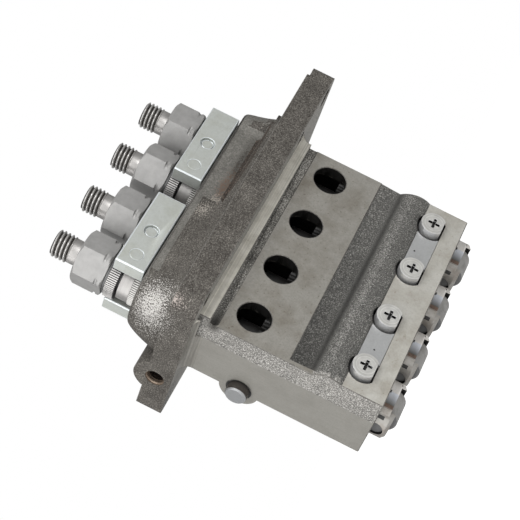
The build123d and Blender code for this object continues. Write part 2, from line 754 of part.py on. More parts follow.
def guide_pin(x):
    """The headed pin that keeps a tappet from turning, with one flat against the housing's step."""
    head = rod_y(guide_head_radius, -guide_head_top, -guide_recess_floor, x, guide_height)
    low = guide_height - guide_head_flat
    head -= block((x - guide_head_radius, x + guide_head_radius), (-guide_head_top - 1, 0),
                  (low - guide_head_radius, low))
    for turn in (0, 90):
        head -= Pos(x, -guide_head_top, guide_height) * Rot(0, turn, 0) * Box(
            guide_cross_length, 2 * guide_cross_depth, guide_cross_width)
    shank = rod_y(guide_shank_radius, -guide_recess_floor, -tappet_bore_radius - sliding_gap, x, guide_height)
    tip = rod_y(guide_tip_radius, -tappet_bore_radius - sliding_gap, -guide_tip_end, x, guide_height)
    return head + shank + tip


def guide_lock_strip(x):
    """The thin strip that fills the groove between the two guide pins of a pair."""
    back = guide_strip_gap + guide_strip_thickness - foot_face
    body = block((x - cylinder_pitch / 2, x + cylinder_pitch / 2), (guide_strip_gap - foot_face, back),
                 (guide_strip_gap - guide_step, -guide_strip_gap - guide_strip_top))
    for offset in (-cylinder_pitch / 2, cylinder_pitch / 2):
        body -= rod_y(guide_recess_radius + guide_strip_gap, -foot_face - 1, 0, x + offset, guide_height)
    return body


def save(name, shape):
    """Write one node."""
    export_step(shape, f"parts/{name}.step")


def group(pieces):
    """Separate solids that share one node."""
    solids = [solid for piece in pieces for solid in piece.solids()]
    return Compound(children=solids)


hex_turns = [0, 22, 8, 12]

os.makedirs("parts", exist_ok=True)
save("pump_housing", pump_housing())
for index, place in enumerate(cylinder_x):
    number = index + 1
    save(f"barrel_{number}", barrel(place))
    save(f"delivery_valve_{number}", delivery_valve(place))
    save(f"delivery_valve_spring_{number}", valve_spring(place))
    save(f"delivery_valve_holder_{number}", delivery_valve_holder(place, hex_turns[index % len(hex_turns)]))
    save(f"control_sleeve_{number}", control_sleeve(place))
    save(f"plunger_{number}", plunger(place))
    save(f"plunger_spring_{number}", plunger_spring(place))
    save(f"lower_spring_seat_{number}", lower_spring_seat(place))
    save(f"tappet_{number}", tappet(place))
    save(f"roller_{number}", roller(place))
    save(f"roller_pin_{number}", roller_pin(place))
for index, place in enumerate(pair_x):
    number = index + 1
    save(f"front_lock_plate_{number}", lock_plate(place, -1))
    save(f"rear_lock_plate_{number}", lock_plate(place, 1))
save("valve_seats", group([valve_seat(x) for x in cylinder_x]))
save("valve_gaskets", group([valve_gasket(x) for x in cylinder_x]))
save("barrel_o_rings", group([o_ring(x) for x in cylinder_x]))
save("upper_spring_seats", group([upper_spring_seat(x) for x in cylinder_x]))
save("lock_plate_screws", group([plate_screw(x) for x in pair_x]))
save("lock_plate_pins", group([plate_pin(x, side) for x in pair_x for side in (-1, 1)]))
save("guide_pins", group([guide_pin(x) for x in cylinder_x]))
save("guide_lock_strips", group([guide_lock_strip(x) for x in pair_x]))
save("control_rack", control_rack())
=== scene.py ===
import math

import bmesh
import bpy
from mathutils import Matrix, Vector


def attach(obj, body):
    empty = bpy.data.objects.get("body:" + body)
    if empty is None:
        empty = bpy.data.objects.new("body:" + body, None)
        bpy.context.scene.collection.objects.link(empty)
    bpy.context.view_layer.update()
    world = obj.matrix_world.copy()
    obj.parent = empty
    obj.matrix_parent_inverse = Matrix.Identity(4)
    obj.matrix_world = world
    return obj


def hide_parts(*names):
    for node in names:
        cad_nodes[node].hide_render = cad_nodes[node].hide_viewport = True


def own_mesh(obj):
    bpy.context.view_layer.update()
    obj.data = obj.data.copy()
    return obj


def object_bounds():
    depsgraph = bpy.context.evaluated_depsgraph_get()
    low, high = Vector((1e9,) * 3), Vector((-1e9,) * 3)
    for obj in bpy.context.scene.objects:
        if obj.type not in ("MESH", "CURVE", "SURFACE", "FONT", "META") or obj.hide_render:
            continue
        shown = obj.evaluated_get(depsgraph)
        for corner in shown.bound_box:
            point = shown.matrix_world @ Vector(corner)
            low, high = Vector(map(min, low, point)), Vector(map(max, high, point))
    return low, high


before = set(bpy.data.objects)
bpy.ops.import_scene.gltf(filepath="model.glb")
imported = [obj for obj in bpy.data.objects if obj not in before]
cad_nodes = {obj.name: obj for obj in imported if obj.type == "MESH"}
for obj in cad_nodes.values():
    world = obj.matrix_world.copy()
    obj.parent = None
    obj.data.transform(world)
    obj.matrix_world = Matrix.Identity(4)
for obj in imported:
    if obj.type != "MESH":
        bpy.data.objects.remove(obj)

# The studio: a pale sheet under the pump, soft light from above the photographer's shoulder and a white
# backdrop. The camera stands where the photographer stood, tilted over by more than half a right angle.
cad_low, cad_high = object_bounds()
mm = 0.001
room_light = 0.42
sheet_glow = 0.7
sheet_drop = 60 * mm

scene = bpy.context.scene
scene.view_settings.view_transform = "Standard"

eye = bpy.data.cameras.new("photo_camera")
eye.sensor_width = 36.0
eye.lens = 114.54
eye.clip_start = 0.02
eye.clip_end = 20.0
camera = bpy.data.objects.new("photo_camera", eye)
scene.collection.objects.link(camera)
eye_right = Vector((0.38303, -0.23776, -0.89261))
eye_up = Vector((0.67609, -0.58628, 0.44629))
eye_ahead = Vector((0.62943, 0.77443, 0.06382))
stand = Matrix((eye_right, eye_up, -eye_ahead)).transposed().to_4x4()
stand.translation = Vector((-0.43903, -0.53706, -0.05296))
camera.matrix_world = stand
scene.camera = camera


def node_material(name):
    """A material with its node tree and its Principled shader."""
    made = bpy.data.materials.new(name)
    made.use_nodes = True
    return made, made.node_tree, made.node_tree.nodes["Principled BSDF"]


def studio_lamp(name, toward, distance, size, watts):
    """A square soft box that looks at the pump from one direction."""
    lamp = bpy.data.lights.new(name, "AREA")
    lamp.shape = "SQUARE"
    lamp.size = size
    lamp.energy = watts
    soft_box = bpy.data.objects.new(name, lamp)
    scene.collection.objects.link(soft_box)
    direction = toward.normalized()
    soft_box.location = Vector((0.01, 0.0, -0.01)) + direction * distance
    soft_box.rotation_euler = direction.to_track_quat("Z", "Y").to_euler()


studio_lamp("key_box", eye_up * 0.75 - eye_right * 0.45 - eye_ahead * 0.75, 1.1, 0.6, 9.0)
studio_lamp("front_box", -eye_ahead - eye_right * 0.5 - eye_up * 0.25, 0.6, 0.5, 1.7)
studio_lamp("fill_box", eye_right * 0.9 - eye_ahead * 0.7 - eye_up * 0.1, 1.2, 0.9, 2.5)
studio_lamp("low_box", -eye_up * 0.8 - eye_right * 0.7 - eye_ahead * 0.4, 1.2, 0.9, 7.0)


def seen_by_eye(tree):
    """One where a camera or glass ray arrives, zero for the light that falls on things."""
    path = tree.nodes.new("ShaderNodeLightPath")
    seen = tree.nodes.new("ShaderNodeMath")
    seen.operation = "MAXIMUM"
    tree.links.new(path.outputs["Is Camera Ray"], seen.inputs[0])
    tree.links.new(path.outputs["Is Transmission Ray"], seen.inputs[1])
    return seen.outputs[0]


world = bpy.data.worlds.new("white_room")
world.use_nodes = True
scene.world = world
room = world.node_tree
level = room.nodes.new("ShaderNodeMix")
level.data_type = "FLOAT"
level.inputs[2].default_value = room_light
level.inputs[3].default_value = 1.0
room.links.new(seen_by_eye(room), level.inputs[0])
room.links.new(level.outputs[0], room.nodes["Background"].inputs["Strength"])
room.nodes["Background"].inputs["Color"].default_value = (1, 1, 1, 1)

floor_mesh = bmesh.new()
bmesh.ops.create_grid(floor_mesh, x_segments=4, y_segments=4, size=3.0,
                      matrix=Matrix.Translation((0, 0, cad_low.z - sheet_drop)))
floor_data = bpy.data.meshes.new("studio_sheet")
floor_mesh.to_mesh(floor_data)
floor_mesh.free()
floor = bpy.data.objects.new("studio_sheet", floor_data)
scene.collection.objects.link(floor)
paper, paper_tree, paper_shader = node_material("pale_sheet")
paper_shader.inputs["Base Color"].default_value = (0.86, 0.86, 0.86, 1)
paper_shader.inputs["Roughness"].default_value = 0.9
paper_glow = paper_tree.nodes.new("ShaderNodeMath")
paper_glow.operation = "MULTIPLY"
paper_glow.inputs[1].default_value = sheet_glow
paper_tree.links.new(seen_by_eye(paper_tree), paper_glow.inputs[0])
paper_shader.inputs["Emission Color"].default_value = (1, 1, 1, 1)
paper_tree.links.new(paper_glow.outputs[0], paper_shader.inputs["Emission Strength"])
floor_data.materials.append(paper)


# The housing is one casting of grey iron. Its deck, flange sides and channels are left as cast, with the
# sand's grain. The seat, the hole face, the near end, the foot and every bore are machined.
def new_group(name, ins, outs):
    """A shader node group. Each input is (name, value): a number, a colour, or None for a vector."""
    group = bpy.data.node_groups.new(name, "ShaderNodeTree")
    for socket_name, value in ins:
        kind = "NodeSocketFloat"
        if value is None or len(value if isinstance(value, tuple) else ()) == 3:
            kind = "NodeSocketVector"
        elif isinstance(value, tuple):
            kind = "NodeSocketColor"
        socket = group.interface.new_socket(socket_name, in_out="INPUT", socket_type=kind)
        if value is not None:
            socket.default_value = value
    for socket_name in outs:
        kind = "NodeSocketColor" if socket_name == "Color" else "NodeSocketFloat"
        group.interface.new_socket(socket_name, in_out="OUTPUT", socket_type=kind)
    return group, group.nodes.new("NodeGroupInput").outputs, group.nodes.new("NodeGroupOutput").inputs


def feed(tree, socket, value):
    """Links a socket, or writes a number or colour, into an input."""
    if isinstance(value, bpy.types.NodeSocket):
        tree.links.new(value, socket)
    elif isinstance(value, tuple) and len(value) == 3 and socket.type == "RGBA":
        socket.default_value = (*value, 1)
    else:
        socket.default_value = value


def maths(tree, kind, *values, clamp=False):
    """A Math node."""
    made = tree.nodes.new("ShaderNodeMath")
    made.operation = kind
    made.use_clamp = clamp
    for socket, value in zip(made.inputs, values):
        feed(tree, socket, value)
    return made.outputs[0]


def vectors(tree, kind, first, second):
    """A Vector Math node. A number as the second value is a scale."""
    made = tree.nodes.new("ShaderNodeVectorMath")
    made.operation = kind
    feed(tree, made.inputs[0], first)
    feed(tree, made.inputs["Scale"] if kind == "SCALE" else made.inputs[1], second)
    return made.outputs["Value"] if kind in ("LENGTH", "DOT_PRODUCT") else made.outputs["Vector"]


def noise(tree, where, scale, detail=2.0, rough=0.6):
    """A noise from 0 to 1, mostly near 0.5."""
    made = tree.nodes.new("ShaderNodeTexNoise")
    feed(tree, made.inputs["Vector"], where)
    feed(tree, made.inputs["Scale"], scale)
    made.inputs["Detail"].default_value = detail
    made.inputs["Roughness"].default_value = rough
    return made.outputs["Fac"]


def swing(tree, value, depth):
    """Turns a value around 0.5 into one around zero, times a depth."""
    return maths(tree, "MULTIPLY", maths(tree, "SUBTRACT", value, 0.5), depth)


def span(tree, value, low, high, start=0.0, end=1.0):
    """Maps low to high onto start to end, held at both ends."""
    made = tree.nodes.new("ShaderNodeMapRange")
    for place, number in enumerate((value, low, high, start, end)):
        feed(tree, made.inputs[place], number)
    return made.outputs["Result"]


def blend(tree, share, first, second):
    """Mixes two colours."""
    made = tree.nodes.new("ShaderNodeMix")
    made.data_type = "RGBA"
    for place, value in ((0, share), (6, first), (7, second)):
        feed(tree, made.inputs[place], value)
    return made.outputs[2]


def place_mm(tree):
    """Where the point is on the object, in millimetres."""
    return vectors(tree, "SCALE", tree.nodes.new("ShaderNodeTexCoord").outputs["Object"], 1000.0)


# Soft colour patches over the grain, used below for rust and for painted shade and painted highlights.
patch_names = ("First", "Second", "Third", "Fourth")
patch_inputs = []
for which in patch_names:
    patch_inputs += [(f"{which} place", None), (f"{which} size", (1.0, 1.0, 1.0)), (f"{which} share", 0.0),
                     (f"{which} colour", (0.5, 0.5, 0.5, 1))]
sand, sand_in, sand_out = new_group("sand_grain", [
    ("Dark", (0.03, 0.026, 0.022, 1)), ("Middle", (0.105, 0.097, 0.085, 1)), ("Light", (0.22, 0.205, 0.18, 1)),
    ("Grains per mm", 1.9), ("Light from", 0.56), ("Light to", 0.8), ("Blotch", 0.3)] + patch_inputs,
    ["Color", "Roughness", "Height"])
at = place_mm(sand)
grain = noise(sand, at, sand_in["Grains per mm"], 2.5, 0.62)
cloud = swing(sand, noise(sand, at, 0.11, 3.0), sand_in["Blotch"])
depth = maths(sand, "ADD", grain, cloud)
crest = span(sand, depth, sand_in["Light from"], sand_in["Light to"])
skin_colour = blend(sand, span(sand, depth, 0.33, 0.58), sand_in["Dark"], sand_in["Middle"])
skin_colour = blend(sand, crest, skin_colour, sand_in["Light"])
for which in patch_names:
    from_middle = vectors(sand, "SUBTRACT", at, sand_in[f"{which} place"])
    in_sizes = vectors(sand, "DIVIDE", from_middle, sand_in[f"{which} size"])
    apart = vectors(sand, "LENGTH", in_sizes, (0.0, 0.0, 0.0))
    near = maths(sand, "ADD", grain, span(sand, apart, 0.2, 1.8, 0.5, 0.0))
    share = maths(sand, "MULTIPLY", span(sand, near, 0.86, 1.03), sand_in[f"{which} share"])
    skin_colour = blend(sand, share, skin_colour, sand_in[f"{which} colour"])
feed(sand, sand_out["Color"], skin_colour)
feed(sand, sand_out["Roughness"], span(sand, crest, 0.0, 1.0, 0.66, 0.4))
pits = sand.nodes.new("ShaderNodeTexVoronoi")
pits.inputs["Scale"].default_value = 0.9
feed(sand, pits.inputs["Vector"], at)
feed(sand, sand_out["Height"], maths(sand, "ADD", grain, maths(sand, "MULTIPLY", pits.outputs["Distance"], 0.4)))

cutter, cutter_in, cutter_out = new_group("cutter_marks", [
    ("Metal", (0.4, 0.39, 0.36, 1)), ("Stain", (0.24, 0.22, 0.19, 1)), ("Stretch", (1.0, 1.0, 1.0)),
    ("Stain share", 0.5), ("Stains per mm", 0.07), ("Fleck share", 0.35), ("Line depth", 0.1), ("Speckle", 0.25)],
    ["Color", "Roughness", "Height"])
at = place_mm(cutter)
lines = noise(cutter, vectors(cutter, "MULTIPLY", at, cutter_in["Stretch"]), 1.0)
stains = span(cutter, noise(cutter, at, cutter_in["Stains per mm"], 5.0), 0.42, 0.72)
stained = maths(cutter, "MULTIPLY", stains, cutter_in["Stain share"])
flecks = span(cutter, noise(cutter, at, 0.75), 0.62, 0.76)
flecks = maths(cutter, "MULTIPLY", flecks, cutter_in["Fleck share"])
stain = maths(cutter, "ADD", stained, flecks, clamp=True)
lined = maths(cutter, "ADD", 1.0, swing(cutter, lines, cutter_in["Line depth"]))
lined = maths(cutter, "ADD", lined, swing(cutter, noise(cutter, at, 1.3, 3.0), cutter_in["Speckle"]))
metal_colour = blend(cutter, stain, cutter_in["Metal"], cutter_in["Stain"])
feed(cutter, cutter_out["Color"], vectors(cutter, "SCALE", metal_colour, lined))
feed(cutter, cutter_out["Roughness"], span(cutter, stain, 0.0, 1.0, 0.36, 0.6))
feed(cutter, cutter_out["Height"], lines)


def skinned(name, group, values, bump, metallic, rough=None):
    """A material that takes its colour, roughness and height from one of the surface groups."""
    made, tree, shader = node_material(name)
    skin = tree.nodes.new("ShaderNodeGroup")
    skin.node_tree = group
    for key, value in values.items():
        skin.inputs[key].default_value = (*value, 1) if skin.inputs[key].type == "RGBA" else value
    tree.links.new(skin.outputs["Color"], shader.inputs["Base Color"])
    if rough is None:
        tree.links.new(skin.outputs["Roughness"], shader.inputs["Roughness"])
    else:
        shader.inputs["Roughness"].default_value = rough
    lift = tree.nodes.new("ShaderNodeBump")
    lift.inputs["Strength"].default_value = 1.0
    lift.inputs["Distance"].default_value = bump * mm
    tree.links.new(skin.outputs["Height"], lift.inputs["Height"])
    tree.links.new(lift.outputs["Normal"], shader.inputs["Normal"])
    shader.inputs["Metallic"].default_value = metallic
    return made


# Painted highlights: the first and fourth patches at the near corners of deck and flange, the second by the
# pocket.
cast_skin = skinned("cast_skin", sand, {
    "Dark": (0.026, 0.021, 0.017), "Light": (0.27, 0.25, 0.22),
    "First place": (-58.0, -13.0, 18.0), "First size": (12.0, 19.0, 13.0), "First share": 0.95,
    "First colour": (0.54, 0.525, 0.5),
    "Second place": (-8.0, -19.0, 19.0), "Second size": (7.0, 5.0, 6.0), "Second share": 0.8,
    "Second colour": (0.36, 0.33, 0.29),
    "Fourth place": (-61.0, -26.5, 11.0), "Fourth size": (6.0, 5.0, 7.0), "Fourth share": 0.9,
    "Fourth colour": (0.4, 0.35, 0.32)}, bump=0.35, metallic=0.35)
# First patch: painted shadow at the foot of the channel's step. Second patch: painted highlight on the slope
# below.
rough_grey = skinned("rough_grey_cast", sand, {
    "Dark": (0.04, 0.039, 0.036), "Middle": (0.125, 0.122, 0.113), "Light": (0.5, 0.49, 0.46),
    "Grains per mm": 2.0, "Blotch": 0.12,
    "First place": (0.0, -14.2, -49.6), "First size": (150.0, 4.0, 1.9), "First share": 0.95,
    "First colour": (0.022, 0.021, 0.019),
    "Second place": (0.0, -16.0, -54.0), "Second size": (150.0, 4.0, 3.0), "Second share": 0.45,
    "Second colour": (0.36, 0.35, 0.33)}, bump=0.3, metallic=0.35)
# Rough cast painted lighter as a highlight at the near end; its patch is painted shade at the groove's near end.
highlit_rough = skinned("rough_cast_painted_highlight", sand, {
    "Dark": (0.1, 0.097, 0.09), "Middle": (0.23, 0.222, 0.205), "Light": (0.62, 0.6, 0.57),
    "Grains per mm": 2.1, "Light from": 0.48, "Light to": 0.78, "Blotch": 0.15,
    "First place": (-55.0, -14.5, -7.0), "First size": (3.0, 4.0, 4.0), "First share": 1.0,
    "First colour": (0.03, 0.027, 0.022)}, bump=0.4, metallic=0.4)
# Patches: painted shade along the foot of the pocket wall, rust, and a painted highlight at the pocket's near end.
smooth_cast = skinned("smooth_cast", sand, {
    "Dark": (0.09, 0.086, 0.077), "Middle": (0.15, 0.144, 0.13), "Light": (0.22, 0.21, 0.19),
    "Grains per mm": 1.6,
    "First place": (24.0, -17.2, 17.6), "First size": (24.0, 4.0, 2.6), "First share": 0.9,
    "First colour": (0.035, 0.03, 0.024),
    "Second place": (10.0, -17.2, 18.0), "Second size": (15.0, 3.5, 3.6), "Second share": 0.95,
    "Second colour": (0.125, 0.082, 0.058),
    "Third place": (-2.0, -18.0, 18.0), "Third size": (9.0, 5.0, 5.0), "Third share": 0.85,
    "Third colour": (0.42, 0.38, 0.33)}, bump=0.08, metallic=0.35)
# The pocket's trough, painted dark as shade, with a rust patch and a painted highlight at its near end.
valley_shade_and_rust = skinned("valley_painted_shade_and_rust", sand, {
    "Dark": (0.018, 0.014, 0.011), "Middle": (0.06, 0.048, 0.038), "Light": (0.17, 0.13, 0.1),
    "Grains per mm": 1.6,
    "Second place": (10.0, -20.0, 13.5), "Second size": (15.0, 5.0, 5.0), "Second share": 0.95,
    "Second colour": (0.125, 0.082, 0.058),
    "Third place": (-3.0, -20.5, 14.5), "Third size": (9.0, 6.0, 6.0), "Third share": 0.9,
    "Third colour": (0.42, 0.38, 0.33)}, bump=0.3, metallic=0.35)
machined_iron = skinned("machined_iron", cutter, {
    "Metal": (0.26, 0.25, 0.225), "Stain": (0.14, 0.125, 0.1), "Stretch": (0.05, 1.0, 1.6), "Stain share": 0.9,
    "Fleck share": 0.75, "Speckle": 0.5}, bump=0.02, metallic=0.4)
end_iron = skinned("milled_end_iron", cutter, {
    "Metal": (0.24, 0.232, 0.21), "Stain": (0.16, 0.152, 0.135), "Stretch": (1.0, 3.0, 0.05), "Stain share": 0.6,
    "Line depth": 0.3, "Speckle": 0.3}, bump=0.03, metallic=0.4)
fillet_iron = skinned("milled_fillet_iron", cutter, {
    "Metal": (0.2, 0.192, 0.172), "Stain": (0.11, 0.1, 0.085), "Stretch": (0.9, 0.02, 0.9), "Stain share": 0.4,
    "Line depth": 1.6}, bump=0.05, metallic=0.45)
# Its patch is painted shade at the near end of the groove.
groove_iron = skinned("sanded_groove", sand, {
    "Dark": (0.03, 0.028, 0.025), "Middle": (0.18, 0.173, 0.155), "Light": (0.6, 0.58, 0.54),
    "Grains per mm": 1.8, "Light from": 0.5, "Light to": 0.74,
    "First place": (-56.0, -14.5, -7.0), "First size": (12.0, 6.0, 6.0), "First share": 1.0,
    "First colour": (0.02, 0.018, 0.015)}, bump=0.4, metallic=0.35)
foot_iron = skinned("ground_foot_iron", cutter, {
    "Metal": (0.43, 0.42, 0.385), "Stain": (0.27, 0.25, 0.21), "Stretch": (0.05, 1.0, 1.6), "Stain share": 0.8,
    "Fleck share": 0.4, "Speckle": 0.35}, bump=0.02, metallic=0.4)
# The seat is seen almost edge-on: its light grey and the dark patch to the near rear are a painted reflection.
seat_reflection_iron = skinned("ground_seat_painted_reflection", sand, {
    "Dark": (0.2, 0.193, 0.175), "Middle": (0.26, 0.25, 0.23), "Light": (0.34, 0.33, 0.3), "Grains per mm": 0.9,
    "First place": (-64.0, 42.0, 0.0), "First size": (26.0, 32.0, 10.0), "First share": 0.9,
    "First colour": (0.03, 0.029, 0.026)}, bump=0.01, metallic=0.4)
inlet_thread = skinned("inlet_thread", cutter, {
    "Metal": (0.34, 0.27, 0.21), "Stain": (0.1, 0.07, 0.05), "Stain share": 0.8}, bump=0.02, metallic=0.6)
bright_band = skinned("milled_collar_iron", cutter, {
    "Metal": (0.58, 0.56, 0.5), "Stain": (0.28, 0.26, 0.21), "Stretch": (0.008, 1.6, 1.6), "Stain share": 0.6,
    "Stains per mm": 0.12, "Line depth": 1.2}, bump=0.03, metallic=0.45)
# Near black: painted shade in bores, cross holes, recesses, gaps, the deep inlet, cross recesses and punch marks.
bore_shade_iron = skinned("bore_painted_shade", cutter, {
    "Metal": (0.008, 0.0075, 0.007), "Stain": (0.004, 0.004, 0.004),
    "Stretch": (0.2, 0.2, 2.0)}, bump=0.02, metallic=0.1)
rusty_bore = skinned("rusty_inlet", sand, {
    "Dark": (0.01, 0.007, 0.005), "Middle": (0.04, 0.025, 0.018), "Light": (0.2, 0.14, 0.1),
    "Grains per mm": 1.0, "Blotch": 0.6}, bump=0.2, metallic=0.5)
# Edges and lips of the casting: partly wear, partly a painted highlight where they catch the light.
worn_edge_and_highlight = skinned("worn_edge_and_highlight", sand, {
    "Dark": (0.07, 0.066, 0.06), "Middle": (0.16, 0.152, 0.138), "Light": (0.32, 0.305, 0.28),
    "Grains per mm": 1.8, "Blotch": 0.2}, bump=0.15, metallic=0.4)
iron_finishes = [cast_skin, rough_grey, highlit_rough, smooth_cast, machined_iron, end_iron, bright_band, bore_shade_iron,
                 rusty_bore, worn_edge_and_highlight, fillet_iron, groove_iron, foot_iron, valley_shade_and_rust, inlet_thread,
                 seat_reflection_iron]


def copy_node(node, name, finishes):
    """A mesh with the shape of one CAD node, its coincident corners joined and its flat faces made whole."""
    shape = bmesh.new()
    shape.from_mesh(cad_nodes[node].data)
    bmesh.ops.remove_doubles(shape, verts=shape.verts, dist=1e-6)
    bmesh.ops.dissolve_limit(shape, angle_limit=math.radians(0.6), verts=shape.verts, edges=shape.edges)
    data = bpy.data.meshes.new(name)
    for finish in finishes:
        data.materials.append(finish)
    return shape, data


def slot_of(data, finish):
    """The place of a finish among a mesh's materials."""
    return data.materials.find(finish.name)


def paint(shape, data, choose):
    """Gives each face the finish that choose(its middle in mm, its normal) names."""
    for face in shape.faces:
        face.material_index = slot_of(data, choose(face.calc_center_median() / mm, face.normal))


def show(shape, data, body, stands_for, bevel=0.0, angle=28.0, bevel_highlight=None):
    """Puts a shape in the scene on its body, standing for its CAD nodes, with softened edges."""
    for face in shape.faces:
        face.smooth = True
    shape.to_mesh(data)
    shape.free()
    data.set_sharp_from_angle(angle=math.radians(angle))
    made = bpy.data.objects.new(data.name, data)
    scene.collection.objects.link(made)
    if bevel:
        edge = made.modifiers.new("edges", "BEVEL")
        edge.width = bevel * mm
        edge.segments = 2
        edge.limit_method = "ANGLE"
        edge.angle_limit = math.radians(angle)
        edge.use_clamp_overlap = False
        edge.harden_normals = True
        # The bevel faces may take a lighter material as a painted highlight.
        edge.material = slot_of(data, bevel_highlight) if bevel_highlight else -1
    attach(made, body)
    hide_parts(*stands_for)
    return made


# Where the casting's parts and the zones of its finishes are, in mm: x runs to the far end, y back and z up.
cylinder_x = [42.0, 14.0, -14.0, -42.0]
deck = 27.0
flange_end, flange_front = -62.2, -25.9
flange_edge_heights = (10.0, 17.0)
block_end, block_bottom = -56.0, -80.2
hole_face, hole_height, hole_reach = -14.9, -19.3, 7.6
guide_height, guide_reach, recess_front = -67.2, 6.9, -16.4
bore_reach, bore_shelf_low, rack_bore_low = 12.4, -79.0, -28.0
inlet_y, inlet_height, inlet_reach, inlet_end, inlet_lip = 25.7, 7.2, 5.5, -37.0, -61.0
rack_radius, rack_y, rack_height = 4.75, 14.59, -25.8
hole_face_heights = (-40.0, -8.0)
foot_top, foot_front, foot_near = -62.0, -14.0, -54.4
collar_heights, collar_front = (-5.0, 0.0), -16.9
fillet_heights, fillet_front, fillet_far = (-5.1, 0.0), -17.0, 54.1
groove_heights, groove_front = (-8.5, -4.8), -14.0
ledge_heights, ledge_front = (15.9, 16.1), -25.0
end_heights, end_inside, milled_front = (block_bottom - 0.1, -2.6), -53.0, -6.0
rough_top, rough_front, rough_far = -2.4, -10.0, 54.2
highlight_far, highlight_low = -52.4, -70.0
pocket_x, pocket_y, pocket_heights = (-4.0, 49.0), (-24.6, -17.1), (12.0, 16.5)
pocket_wall_x, pocket_wall_front, slope_low = (-3.0, 48.5), -19.0, 16.0
far_slope_near, far_slope_back = 49.0, 4.0


def within(value, limits):
    """True between two limits."""
    return limits[0] < value < limits[1]


def beside(middle, radius, height):
    """True when a point is within a radius of one of the cross holes' axes."""
    return any(math.hypot(middle.x - x, middle.z - height) < radius for x in cylinder_x)


def housing_finish(middle, away):
    """Which finish a face of the housing has, from where its middle is and the way it faces."""
    x, y, z = middle
    to_front, to_near, to_top, to_engine = away.y < -0.9, away.x < -0.9, away.z > 0.9, away.z < -0.9
    # The bore walls, cross holes and guide recesses take the painted shade.
    for centre in cylinder_x:
        reach = math.hypot(x - centre, y)
        inward = (x - centre) * away.x + y * away.y < -0.2 * reach
        shelf = abs(away.z) > 0.7 and bore_shelf_low < z < deck - 0.5
        if reach < bore_reach and z < deck and (inward or shelf):
            return bore_shade_iron
    in_cross_hole = hole_face + 0.2 < y < 0 and z > rack_bore_low and beside(middle, hole_reach, hole_height)
    in_guide_recess = recess_front < y < 0 and beside(middle, guide_reach, guide_height)
    if in_cross_hole or in_guide_recess:
        return bore_shade_iron
    # The inlet's lip is worn and lit; past it the bore is painted shade.
    if flange_end + 0.1 < x < inlet_end and math.hypot(y - inlet_y, z - inlet_height) < inlet_reach:
        return worn_edge_and_highlight if x < inlet_lip else bore_shade_iron
    if to_front and abs(y - hole_face) < 0.1 and within(z, hole_face_heights):
        return machined_iron
    if to_front and z < foot_top and y < foot_front and x > foot_near:
        return foot_iron
    # The seat takes the painted reflection.
    if to_engine and abs(z) < 0.05:
        return seat_reflection_iron
    if to_engine and z < block_bottom + 0.2:
        return machined_iron
    if to_front and within(z, collar_heights) and y < collar_front:
        return bright_band
    if within(z, fillet_heights) and (x < block_end or x > fillet_far) and y > fillet_front:
        return fillet_iron
    if within(z, groove_heights) and y < groove_front:
        return groove_iron
    if to_top and within(z, ledge_heights) and y < ledge_front:
        return worn_edge_and_highlight
    if to_near and abs(x - block_end) < 0.1 and z < 0:
        return end_iron if y > milled_front - 0.3 else highlit_rough
    if away.x < -0.3 and x < end_inside and within(z, end_heights):
        return highlit_rough if y < milled_front else end_iron
    if z < rough_top and y < rough_front and x < rough_far:
        return highlit_rough if x < highlight_far and z > highlight_low else rough_grey
    # Faces in the pocket's trough take its painted shade and rust.
    if away.z > 0.05 and within(x, pocket_x) and within(y, pocket_y) and within(z, pocket_heights):
        return valley_shade_and_rust
    behind_pocket = away.y < -0.8 and within(x, pocket_wall_x) and y > pocket_wall_front
    on_far_slope = x > far_slope_near and y < far_slope_back
    if z > slope_low and (behind_pocket or on_far_slope):
        return smooth_cast
    return cast_skin


boss_sides = (12.0, 38.0)
deck_hole_reach = 11.0
edge_radius = 1.3
little_share = 0.27
shortest_edge = 0.7


def edge_softness(edge):
    """How far an edge is rounded: 1 where the sand mould leaves it broad, little where a cutter has been."""
    if len(edge.link_faces) != 2 or edge.calc_face_angle(0) < math.radians(30):
        return 0.0
    x, y, z = (edge.verts[0].co + edge.verts[1].co) / 2 / mm
    on_boss = x < inlet_end and within(y, boss_sides)
    in_foot = z < guide_height + guide_reach + 0.3 and beside(Vector((x, y, z)), guide_reach + 0.3, guide_height)
    if on_boss or in_foot or not edge.is_convex:
        return 0.0
    if z > deck - 0.1 and (abs(y) > deck_hole_reach or abs(x) > cylinder_x[0] + deck_hole_reach):
        return 1.0
    if edge.calc_length() < shortest_edge * mm:
        return 0.0
    return little_share if z < 0 or y < flange_front or within(z, flange_edge_heights) else 0.0


def ring_skin(shape, data, x, rows, around, start=0.0):
    """Adds a closed skin of rings about the line x. A row is (height, radius or function, finish of the band)."""
    angles = [start + 2 * math.pi * step / around for step in range(around)]
    rings = []
    for height, radius, _ in rows:
        ring = []
        for angle in angles:
            reach = radius(angle, height) if callable(radius) else radius
            right, back = reach * math.cos(angle), reach * math.sin(angle)
            ring.append(shape.verts.new(((x + right) * mm, back * mm, height * mm)))
        rings.append(ring)
    for low, high, row in zip(rings, rings[1:] + rings[:1], rows):
        for step in range(around):
            after = (step + 1) % around
            face = shape.faces.new((low[step], low[after], high[after], high[step]))
            face.material_index = slot_of(data, row[2])


def bands(profile, finish):
    """Rows for ring_skin, from a profile of (height, radius), that all have one finish."""
    return [(height, radius, finish) for height, radius in profile]


def rings_along_row(shape, data, rows, around, y, height):
    """Adds rings about a line along the row at (y, height). A row's first number is then its place along x."""
    rings = bmesh.new()
    ring_skin(rings, data, 0.0, rows, around)
    lay = Matrix.Translation((0, y * mm, height * mm)) @ Matrix.Rotation(math.radians(90), 4, "Y")
    bmesh.ops.transform(rings, matrix=lay, verts=rings.verts)
    laid = bpy.data.meshes.new("laid_rings")
    rings.to_mesh(laid)
    rings.free()
    shape.from_mesh(laid)
    bpy.data.meshes.remove(laid)


